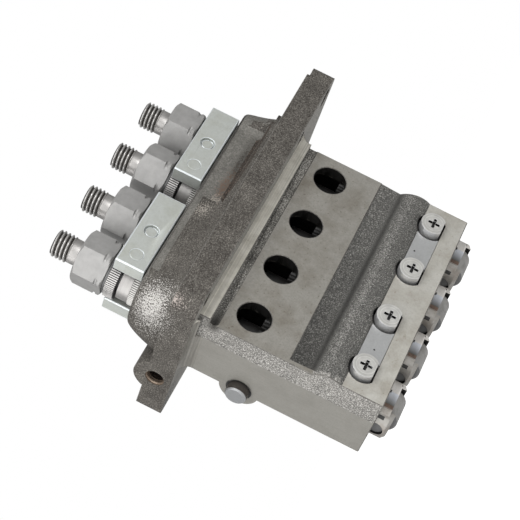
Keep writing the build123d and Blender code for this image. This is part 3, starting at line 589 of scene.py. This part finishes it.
iron, iron_data = copy_node("pump_housing", "housing_casting", iron_finishes)
paint(iron, iron_data, housing_finish)
thread_start, thread_step, thread_valley, thread_ridge, drilled_radius = -52.0, 0.6, 4.2, 3.55, 4.24
thread_rows = [(flange_end + 0.08, drilled_radius, inlet_thread), (thread_start, drilled_radius, bore_shade_iron)]
# Deeper in the inlet the thread goes from copper to rust to the bore's painted shade.
for step in range(17):
    thread_finish = inlet_thread if step > 12 else rusty_bore if step > 8 else bore_shade_iron
    thread_radius = thread_ridge if step % 2 else thread_valley
    thread_rows.append((thread_start - thread_step * step, thread_radius, thread_finish))
rings_along_row(iron, iron_data, thread_rows, 40, inlet_y, inlet_height)
# A thin black ring round the rack at the near end: painted shade of the gap round the rod.
gap_inside, gap_outside = rack_radius + 0.05, rack_radius + 0.9
gap_profile = [(block_end - 0.03, gap_inside), (block_end - 0.03, gap_outside), (block_end + 0.1, gap_outside),
               (block_end + 0.1, gap_inside)]
rings_along_row(iron, iron_data, bands(gap_profile, bore_shade_iron), 48, rack_y, rack_height)
weight = iron.edges.layers.float.new("bevel_weight_edge")
for edge in iron.edges:
    edge[weight] = edge_softness(edge)
housing = show(iron, iron_data, "housing", ["pump_housing"])
# The rounded edges take the worn edge with its painted highlight.
rounded = housing.modifiers.new("edges", "BEVEL")
rounded.width = edge_radius * mm
rounded.segments = 3
rounded.limit_method = "WEIGHT"
rounded.use_clamp_overlap = False
rounded.material = slot_of(iron_data, worn_edge_and_highlight)

# Each barrel is a turned and lapped steel sleeve, pushed into the deck. It stands up out of the casting with a
# plain neck over a serrated collar, and its lower nose guides the plunger.
half_pitch = 14.0
# Turned metal: the roots of threads and serrations, between two radii, are painted dark as shade.
lathe, lathe_in, lathe_out = new_group("turned_metal", [
    ("Metal", (0.5, 0.5, 0.5, 1)), ("Valley shade", (0.1, 0.1, 0.1, 1)), ("Valley radius", 0.0), ("Crest radius", 0.1),
    ("Rings per mm", 3.0), ("Ring depth", 0.12), ("Cloud", 0.2), ("Across", (0.0, 1.0, 0.0)), ("Shift", 0.0),
    ("Along", (0.0, 0.0, 1.0)), ("Second tone", (0.1, 0.1, 0.1, 1)), ("Tone from", -90.0), ("Tone to", -91.0)],
    ["Color", "Roughness", "Height"])
at = place_mm(lathe)
along_row = vectors(lathe, "DOT_PRODUCT", at, (1.0, 0.0, 0.0))
off = maths(lathe, "WRAP", maths(lathe, "ADD", along_row, half_pitch), half_pitch, -half_pitch)
aside = maths(lathe, "ADD", vectors(lathe, "DOT_PRODUCT", at, lathe_in["Across"]), lathe_in["Shift"])
squares = maths(lathe, "ADD", maths(lathe, "MULTIPLY", off, off), maths(lathe, "MULTIPLY", aside, aside))
reach = maths(lathe, "SQRT", squares)
crest = span(lathe, reach, lathe_in["Valley radius"], lathe_in["Crest radius"])
along = lathe.nodes.new("ShaderNodeCombineXYZ")
feed(lathe, along.inputs[0], reach)
feed(lathe, along.inputs[2], vectors(lathe, "DOT_PRODUCT", at, lathe_in["Along"]))
rings = noise(lathe, along.outputs[0], lathe_in["Rings per mm"])
shade = maths(lathe, "ADD", swing(lathe, rings, lathe_in["Ring depth"]),
              swing(lathe, noise(lathe, at, 0.25, 4.0), lathe_in["Cloud"]))
# A second tone blends in across the row; the tappet walls use it for a painted reflection.
tone = blend(lathe, span(lathe, off, lathe_in["Tone from"], lathe_in["Tone to"]), lathe_in["Metal"],
             lathe_in["Second tone"])
feed(lathe, lathe_out["Color"], vectors(lathe, "SCALE", blend(lathe, crest, lathe_in["Valley shade"], tone),
                                        maths(lathe, "ADD", 1.0, shade)))
feed(lathe, lathe_out["Roughness"], span(lathe, noise(lathe, at, 0.5, 3.0), 0.3, 0.7, 0.34, 0.5))
feed(lathe, lathe_out["Height"], rings)

neck_steel = skinned("turned_neck_steel", lathe, {
    "Metal": (0.33, 0.32, 0.31), "Rings per mm": 4.0, "Ring depth": 0.5, "Cloud": 0.4}, bump=0.012, metallic=0.7)
collar_steel = skinned("serrated_collar_steel", lathe, {
    "Metal": (0.5, 0.49, 0.47), "Valley shade": (0.02, 0.02, 0.02), "Valley radius": 9.15, "Crest radius": 9.5,
    "Cloud": 0.4}, bump=0.004, metallic=0.7)
# Near black: oil on the hidden parts, and painted shade in gaps, the tappets' forks, pin holes and small marks.
oil_and_shade_steel = skinned("oil_and_shade_steel", lathe, {
    "Metal": (0.01, 0.0095, 0.009), "Ring depth": 0.3, "Cloud": 0.5}, bump=0.004, metallic=0.0)


def serrations(crest, root, teeth):
    """A radius that steps in and out in narrow valleys, four points to a tooth."""
    def reach(angle, height):
        step = round(angle / (2 * math.pi) * teeth * 4) % 4
        return root if step == 3 else crest
    return reach


collar_top = 30.4
collar_crest, collar_root, collar_teeth = 9.6, 9.12, 64
head_start, head_radius, head_widest = 26.0, 9.15, 9.3
neck_low, neck_bore = 14.0, 7.5
for number, x in enumerate(cylinder_x, 1):
    barrel, barrel_data = copy_node(f"barrel_{number}", f"pump_barrel_{number}",
                                    [neck_steel, collar_steel, oil_and_shade_steel])
    for corner in barrel.verts:
        out = Vector((corner.co.x - x * mm, corner.co.y, 0))
        if out.length > head_widest * mm and corner.co.z > head_start * mm:
            corner.co -= out * (1 - head_radius * mm / out.length)
    paint(barrel, barrel_data, lambda middle, away:
          oil_and_shade_steel if middle.z < neck_low or math.hypot(middle.x - x, middle.y) < neck_bore else neck_steel)
    tooth = serrations(collar_crest, collar_root, collar_teeth)
    # The collar's end rings are painted shade.
    collar_rows = bands([(deck + 0.05, 8.9)], oil_and_shade_steel)
    collar_rows += bands([(deck + 0.05, 9.3), (deck + 0.3, tooth), (collar_top - 0.3, tooth), (collar_top, 9.25)],
                         collar_steel)
    collar_rows += bands([(collar_top, 8.9)], oil_and_shade_steel)
    ring_skin(barrel, barrel_data, x, collar_rows, 4 * collar_teeth)
    show(barrel, barrel_data, "housing", [f"barrel_{number}"], bevel=0.2)

# A moulded rubber ring seals each barrel in its bore. A ground steel seat and a soft copper sealing ring lie
# under the holder. The delivery valve is turned and lapped, and a coil spring presses it on the seat.
black_rubber = skinned("black_rubber", sand, {
    "Dark": (0.006, 0.006, 0.006), "Middle": (0.012, 0.012, 0.012),
    "Light": (0.03, 0.03, 0.03)}, bump=0.02, metallic=0.0, rough=0.55)
ground_steel = skinned("ground_steel", lathe, {
    "Metal": (0.62, 0.62, 0.62), "Rings per mm": 5.0, "Ring depth": 0.14, "Cloud": 0.12}, bump=0.003, metallic=0.9)
soft_copper = skinned("soft_copper", cutter, {
    "Metal": (0.66, 0.36, 0.24), "Stain": (0.28, 0.13, 0.09), "Stretch": (2.0, 2.0, 2.0)}, bump=0.01, metallic=0.9)
spring_wire = skinned("drawn_spring_wire", cutter, {
    "Metal": (0.2, 0.2, 0.21), "Stain": (0.08, 0.08, 0.09), "Stretch": (2.0, 2.0, 2.0)}, bump=0.01, metallic=0.85)


def finish_node(node, finish):
    """Gives a carried-over CAD node its material."""
    cad_nodes[node].data.materials.clear()
    cad_nodes[node].data.materials.append(finish)


def pressed_spring(node):
    """A coil spring that its lower seat presses up against its fixed top end."""
    coil = bmesh.new()
    coil.from_mesh(cad_nodes[node].data)
    coil_data = bpy.data.meshes.new(f"coil_of_{node}")
    coil_data.materials.append(spring_wire)
    made = show(coil, coil_data, "housing", [node], angle=40.0)
    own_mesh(made)


finish_node("barrel_o_rings", black_rubber)
finish_node("valve_gaskets", soft_copper)
finish_node("valve_seats", ground_steel)
for number in range(1, 5):
    finish_node(f"delivery_valve_{number}", ground_steel)
    pressed_spring(f"delivery_valve_spring_{number}")

# A delivery valve holder screws into each barrel. It is turned from hexagon bar: M12 thread and cone seat for the
# injection pipe at the top, a groove round the hexagon's corners, and a serrated ring that the plates lock.
hex_grey = skinned("hexagon_steel", lathe, {
    "Metal": (0.285, 0.281, 0.275), "Rings per mm": 1.2, "Ring depth": 0.06,
    "Cloud": 0.5}, bump=0.01, metallic=0.4, rough=0.5)
thread_steel = skinned("cut_thread_steel", lathe, {
    "Metal": (0.5, 0.49, 0.475), "Valley shade": (0.05, 0.045, 0.04), "Valley radius": 5.1, "Crest radius": 5.95,
    "Rings per mm": 5.0, "Ring depth": 0.3, "Cloud": 0.4}, bump=0.01, metallic=0.7)
serrated_steel = skinned("serrated_ring_steel", lathe, {
    "Metal": (0.42, 0.41, 0.4), "Valley shade": (0.02, 0.02, 0.02), "Valley radius": 10.25, "Crest radius": 10.6,
    "Cloud": 0.4}, bump=0.004, metallic=0.7)
dark_gap_steel = skinned("shaded_steel", lathe, {
    "Metal": (0.12, 0.12, 0.12), "Cloud": 0.3}, bump=0.004, metallic=0.5)
union_top = 67.6
thread_pitch = 1.75
thread_crest = 6.0
thread_root = 4.95
neck_radius = 5.4
thread_low = 59.7
hexagon_flats = 21.0
hexagon_turns = [0, 22, 8, 12]
hexagon_caps = [(41.8, 10.3), (42.0, 10.8), (42.25, 11.3), (42.6, 11.7), (43.7, 11.75), (43.95, 11.25),
                (44.1, 11.1), (44.75, 11.1), (44.9, 11.3), (45.15, 12.05), (48.0, 12.05), (51.5, 12.05),
                (54.4, 12.05)]
hexagon_caps += [(54.4 + 0.11 * step, 12.05 - 0.165 * step) for step in range(1, 11)]
inside_profile = [(24.0, 4.2), (24.0, 6.9), (36.2, 6.9), (40.9, 6.9), (40.95, 9.6), (41.75, 9.6)]
shoulder_profile = [(55.5, 6.6), (55.6, 6.2), (55.75, 5.75), (56.0, 5.5), (56.4, neck_radius)]
mouth_profile = [(union_top, 4.9), (union_top, 3.7), (union_top - 0.1, 3.5)]
fuel_bore_profile = [(63.25, 1.0), (44.0, 1.0), (44.0, 4.2)]
lock_ring_crest, lock_ring_root, lock_ring_teeth = 10.68, 10.2, 72
root_flat, flank, run_in, run_out = 0.1, 0.75, 0.9, 0.7


def thread_reach(angle, height):
    """The radius of a single-start thread that runs out at both ends."""
    turn = (height / thread_pitch - angle / (2 * math.pi)) % 1.0
    rise = min(max((1 - abs(2 * turn - 1) - root_flat) / flank, 0.0), 1.0)
    into = min((height - thread_low) / run_in, 1.0)
    root = neck_radius + (thread_root - neck_radius) * into
    crest = neck_radius + (thread_crest - neck_radius) * into
    crest = min(crest, thread_crest - (height - union_top + run_out))
    return max(root + (crest - root) * rise, min(root, crest))


def hexagon_reach(cap, turn):
    """The radius of a hexagon whose corners are cut back to a cap."""
    def reach(angle, height):
        off = (angle - turn) % (math.pi / 3) - math.pi / 6
        return min(hexagon_flats / 2 / math.cos(off), cap)
    return reach


for number, (x, degrees) in enumerate(zip(cylinder_x, hexagon_turns), 1):
    turn = math.radians(degrees)
    holder = bmesh.new()
    holder_data = bpy.data.meshes.new(f"valve_holder_{number}")
    for finish in (hex_grey, neck_steel, thread_steel, serrated_steel, dark_gap_steel):
        holder_data.materials.append(finish)
    hexagon_profile = [(height, hexagon_reach(cap, turn)) for height, cap in hexagon_caps] + [(55.5, 10.0)]
    steps = int((union_top - thread_low) / thread_pitch * 12)
    thread_profile = [(thread_low + (union_top - thread_low) * step / steps, thread_reach)
                      for step in range(steps + 1)]
    rows = bands(inside_profile, dark_gap_steel) + bands(hexagon_profile, hex_grey)
    rows += bands(shoulder_profile, neck_steel) + bands(thread_profile, thread_steel)
    rows += bands(mouth_profile, neck_steel) + bands(fuel_bore_profile, dark_gap_steel)
    ring_skin(holder, holder_data, x, rows, 96, turn)
    tooth = serrations(lock_ring_crest, lock_ring_root, lock_ring_teeth)
    lock_rows = bands([(36.2, 7.0)], dark_gap_steel)
    lock_rows += bands([(36.2, lock_ring_root), (36.5, tooth), (40.55, tooth)], serrated_steel)
    lock_rows += bands([(40.88, lock_ring_root), (40.88, 7.0)], dark_gap_steel)
    ring_skin(holder, holder_data, x, lock_rows, 4 * lock_ring_teeth)
    show(holder, holder_data, "housing", [f"delivery_valve_holder_{number}"])

# Two zinc-plated plates clamp each pair of holders by their rings. A screw draws them together, its end peened in
# a counterbore, and a flush dowel in each plate bears on one ring.
zinc = skinned("zinc_plate", cutter, {
    "Metal": (0.47, 0.49, 0.465), "Stain": (0.33, 0.335, 0.29), "Stretch": (0.6, 0.6, 0.6), "Stain share": 0.6,
    "Fleck share": 0.3, "Stains per mm": 0.12}, bump=0.006, metallic=0.5)
# The plates' and screws' chamfers: a lighter zinc as a painted highlight.
zinc_edge_highlight = skinned("zinc_edge_highlight", cutter, {
    "Metal": (0.66, 0.7, 0.72), "Stain": (0.5, 0.52, 0.5), "Stretch": (0.6, 0.6, 0.6)}, bump=0.004, metallic=0.6)
for number in (1, 2):
    for side in ("front", "rear"):
        node = f"{side}_lock_plate_{number}"
        plate, plate_data = copy_node(node, f"{side}_plate_{number}", [zinc, zinc_edge_highlight])
        show(plate, plate_data, "housing", [node], bevel=0.22, bevel_highlight=zinc_edge_highlight)
screws, screws_data = copy_node("lock_plate_screws", "plate_screws", [zinc, zinc_edge_highlight])
show(screws, screws_data, "housing", ["lock_plate_screws"], bevel=0.25, bevel_highlight=zinc_edge_highlight)
dowels, dowels_data = copy_node("lock_plate_pins", "plate_dowels", [zinc])
show(dowels, dowels_data, "housing", ["lock_plate_pins"], bevel=0.22)

# The control rack is a ground round steel rod, toothed along one side. It slides in the back of the block, and
# its polished end comes out of the housing.
rack_steel = skinned("polished_rack_steel", cutter, {
    "Metal": (0.3, 0.305, 0.31), "Stain": (0.2, 0.2, 0.2), "Stretch": (3.0, 0.4, 0.4),
    "Stain share": 0.3}, bump=0.004, metallic=0.7)
rack_side = skinned("browned_rack_steel", cutter, {
    "Metal": (0.075, 0.066, 0.06), "Stain": (0.03, 0.027, 0.025),
    "Stretch": (3.0, 0.4, 0.4)}, bump=0.004, metallic=0.5)
rack, rack_data = copy_node("control_rack", "toothed_rack", [rack_steel, rack_side])
polished_from = -58.0
paint(rack, rack_data, lambda middle, away:
      rack_steel if away.x < -0.6 and middle.x < polished_from else rack_side)
show(rack, rack_data, "rack", ["control_rack"], bevel=0.15)

# A toothed steel sleeve round each barrel's nose turns the plunger by its vanes. A coil spring between two turned
# seats pushes each tappet down. The sleeves and plungers are black with oil.
for number in range(1, 5):
    finish_node(f"control_sleeve_{number}", oil_and_shade_steel)
    finish_node(f"plunger_{number}", oil_and_shade_steel)
    pressed_spring(f"plunger_spring_{number}")
    finish_node(f"lower_spring_seat_{number}", ground_steel)
finish_node("upper_spring_seats", ground_steel)

# The roller tappets are hardened and ground shells, forked for a roller that turns on a pressed pin. A wall
# closes the fork in front and behind. Hardening has left a brown tint on them. Their +X sides carry a painted
# highlight, the walls' middles a painted reflection, and the forks' insides, pin holes and small marks painted
# shade.
tappet_steel = skinned("ground_tappet_steel", cutter, {
    "Metal": (0.3, 0.29, 0.27), "Stain": (0.17, 0.13, 0.1), "Stretch": (0.3, 0.3, 3.0), "Stain share": 0.7,
    "Stains per mm": 0.16, "Fleck share": 0.2}, bump=0.006, metallic=0.6)
# Each wall's middle: a painted reflection, light blue fading to dark towards -X.
reflection_wall = skinned("wall_painted_reflection_steel", lathe, {
    "Metal": (0.5, 0.52, 0.56), "Second tone": (0.085, 0.085, 0.08), "Tone from": -0.6, "Tone to": -5.2,
    "Rings per mm": 6.0, "Ring depth": 0.5, "Cloud": 0.3}, bump=0.006, metallic=0.5)
brown_wall = skinned("browned_wall_steel", cutter, {
    "Metal": (0.12, 0.08, 0.06), "Stain": (0.06, 0.045, 0.035), "Stretch": (0.3, 0.3, 3.0), "Stain share": 0.8,
    "Stains per mm": 0.4}, bump=0.006, metallic=0.5)
# A light steel on the +X side of each tappet and its walls: a painted highlight.
highlight_wall = skinned("wall_painted_highlight_steel", cutter, {
    "Metal": (0.62, 0.6, 0.57), "Stain": (0.4, 0.37, 0.34), "Stretch": (0.3, 0.3, 3.0)}, bump=0.004, metallic=0.5)
roller_steel = skinned("roller_steel", cutter, {
    "Metal": (0.26, 0.255, 0.245), "Stain": (0.13, 0.125, 0.115), "Stretch": (4.0, 0.3, 0.3), "Stain share": 0.7,
    "Stains per mm": 0.2}, bump=0.004, metallic=0.65)
tappet_radius = 11.8
wall_half_angle = 35.5
wall_inside, wall_chamfer = 9.9, 0.5
wall_span = (-84.3, -78.6)
wall_tints = [(-38, highlight_wall), (0, reflection_wall), (27, brown_wall)]
cheek_inside, highlight_from = 6.8, 6.0
roller_axis_height = -81.3
pin_hole_reach = 3.8


def wall_piece(shape, data, x, toward):
    """A closed curved wall between the cheeks, on the front (-1) or the back (1) of a tappet."""
    steps = 24
    rings = []
    for step in range(steps + 1):
        angle = math.radians(-wall_half_angle + 2 * wall_half_angle * step / steps)
        ring = []
        for reach, height in ((wall_inside, wall_span[0]), (tappet_radius - wall_chamfer, wall_span[0]),
                              (tappet_radius, wall_span[0] + wall_chamfer), (tappet_radius, wall_span[1]),
                              (wall_inside, wall_span[1])):
            aside, ahead = -reach * math.sin(angle), toward * reach * math.cos(angle)
            ring.append(shape.verts.new(((x + aside) * mm, ahead * mm, height * mm)))
        rings.append(ring)
    for step in range(steps):
        degrees = -wall_half_angle + 2 * wall_half_angle * (step + 0.5) / steps
        tint = [finish for start, finish in wall_tints if degrees > start][-1]
        for one in range(5):
            two = (one + 1) % 5
            here, after = rings[step], rings[step + 1]
            face = shape.faces.new((here[one], here[two], after[two], after[one]))
            face.material_index = slot_of(data, tint)
    shape.faces.new(rings[0])
    shape.faces.new(rings[-1])


notch = ((-3.5, 3.5), (-81.0, -80.0))
slot_halves = [((52, 56), (-83.0, -80.0)), ((56, 60), (-83.0, -80.0))]


def shade_mark(shape, data, x, degrees, heights):
    """A dark quad on the shell, painted shade for a notch or slot: two angles about -y wide, two heights high."""
    reach = tappet_radius + 0.03
    corners = []
    for angle, height in ((degrees[0], heights[0]), (degrees[1], heights[0]), (degrees[1], heights[1]),
                          (degrees[0], heights[1])):
        aside, ahead = -reach * math.sin(math.radians(angle)), -reach * math.cos(math.radians(angle))
        corners.append(shape.verts.new(((x + aside) * mm, ahead * mm, height * mm)))
    shape.faces.new(corners).material_index = slot_of(data, oil_and_shade_steel)


def tappet_finish(middle, away, x):
    """Which finish a face of the tappet at x has."""
    # The pin holes and the fork's inner faces are painted shade.
    in_pin_hole = math.hypot(middle.y, middle.z - roller_axis_height) < pin_hole_reach and abs(away.x) < 0.3
    inside_cheek = abs(away.x) > 0.95 and abs(middle.x - x) < cheek_inside
    if in_pin_hole or inside_cheek:
        return oil_and_shade_steel
    return highlight_wall if middle.x - x > highlight_from else tappet_steel


for number, x in enumerate(cylinder_x, 1):
    tappet, tappet_data = copy_node(f"tappet_{number}", f"roller_tappet_{number}",
                                    [tappet_steel, reflection_wall, brown_wall, highlight_wall, oil_and_shade_steel])
    paint(tappet, tappet_data, lambda middle, away: tappet_finish(middle, away, x))
    for toward in (-1, 1):
        wall_piece(tappet, tappet_data, x, toward)
    bmesh.ops.recalc_face_normals(tappet, faces=tappet.faces)
    for degrees, heights in [notch] + slot_halves:
        shade_mark(tappet, tappet_data, x, degrees, heights)
    show(tappet, tappet_data, f"tappet_body_{number}", [f"tappet_{number}"])
    roller, roller_data = copy_node(f"roller_{number}", f"cam_roller_{number}", [roller_steel, dark_gap_steel])
    paint(roller, roller_data, lambda middle, away: dark_gap_steel if abs(away.x) > 0.5 else roller_steel)
    show(roller, roller_data, f"roller_body_{number}", [f"roller_{number}"], bevel=0.3)
    pin, pin_data = copy_node(f"roller_pin_{number}", f"cam_roller_pin_{number}", [dark_gap_steel])
    show(pin, pin_data, f"tappet_body_{number}", [f"roller_pin_{number}"], bevel=0.4)

# Four steel guide pins with cross recesses keep the tappets from turning. Each head has one flat against the
# foot's step. A thin rolled strip with a punch mark fills the groove between the two heads of a pair.
pin_face = skinned("guide_head_steel", lathe, {
    "Metal": (0.52, 0.515, 0.49), "Rings per mm": 1.4, "Ring depth": 1.1, "Cloud": 0.5, "Across": (0.0, 0.0, 1.0),
    "Shift": -guide_height, "Along": (0.0, 0.0, 0.0)}, bump=0.03, metallic=0.6)
# The heads' sides and edges: a lighter steel as a painted highlight.
pin_side_highlight = skinned("guide_head_edge_highlight", cutter, {
    "Metal": (0.62, 0.62, 0.62), "Stain": (0.4, 0.4, 0.4), "Stretch": (0.5, 3.0, 0.5),
    "Stain share": 0.3}, bump=0.004, metallic=0.75)
heads, heads_data = copy_node("guide_pins", "cross_head_guide_pins", [pin_face, pin_side_highlight, bore_shade_iron])
head_face, cross_reach = -19.65, 3.0
# The heads' cross recesses are painted shade.
paint(heads, heads_data, lambda middle, away:
      bore_shade_iron if middle.y > head_face and beside(middle, cross_reach, guide_height)
      else pin_face if away.y < -0.9 else pin_side_highlight)
show(heads, heads_data, "housing", ["guide_pins"], bevel=0.12, bevel_highlight=pin_side_highlight)
strip_steel = skinned("rolled_strip_steel", cutter, {
    "Metal": (0.4, 0.405, 0.405), "Stain": (0.26, 0.26, 0.25), "Stretch": (0.08, 1.0, 1.0),
    "Stain share": 0.3}, bump=0.004, metallic=0.6)
strips, strips_data = copy_node("guide_lock_strips", "guide_pin_strips", [strip_steel, bore_shade_iron])
strip_face = min(corner.co.y for corner in strips.verts) / mm - 0.02
# The punch marks are dark discs just off the strip, painted shade in the small dimples.
mark_radius, mark_corners, mark_step = 0.45, 7, 0.9
for mark_x, mark_z in ((25.9, -64.8), (-30.9, -67.5)):
    rim = []
    for corner in range(mark_corners):
        angle = mark_step * corner
        right, up = mark_radius * math.cos(angle), mark_radius * math.sin(angle)
        rim.append(strips.verts.new(((mark_x + right) * mm, strip_face * mm, (mark_z + up) * mm)))
    strips.faces.new(rim).material_index = slot_of(strips_data, bore_shade_iron)
show(strips, strips_data, "housing", ["guide_lock_strips"], bevel=0.12)
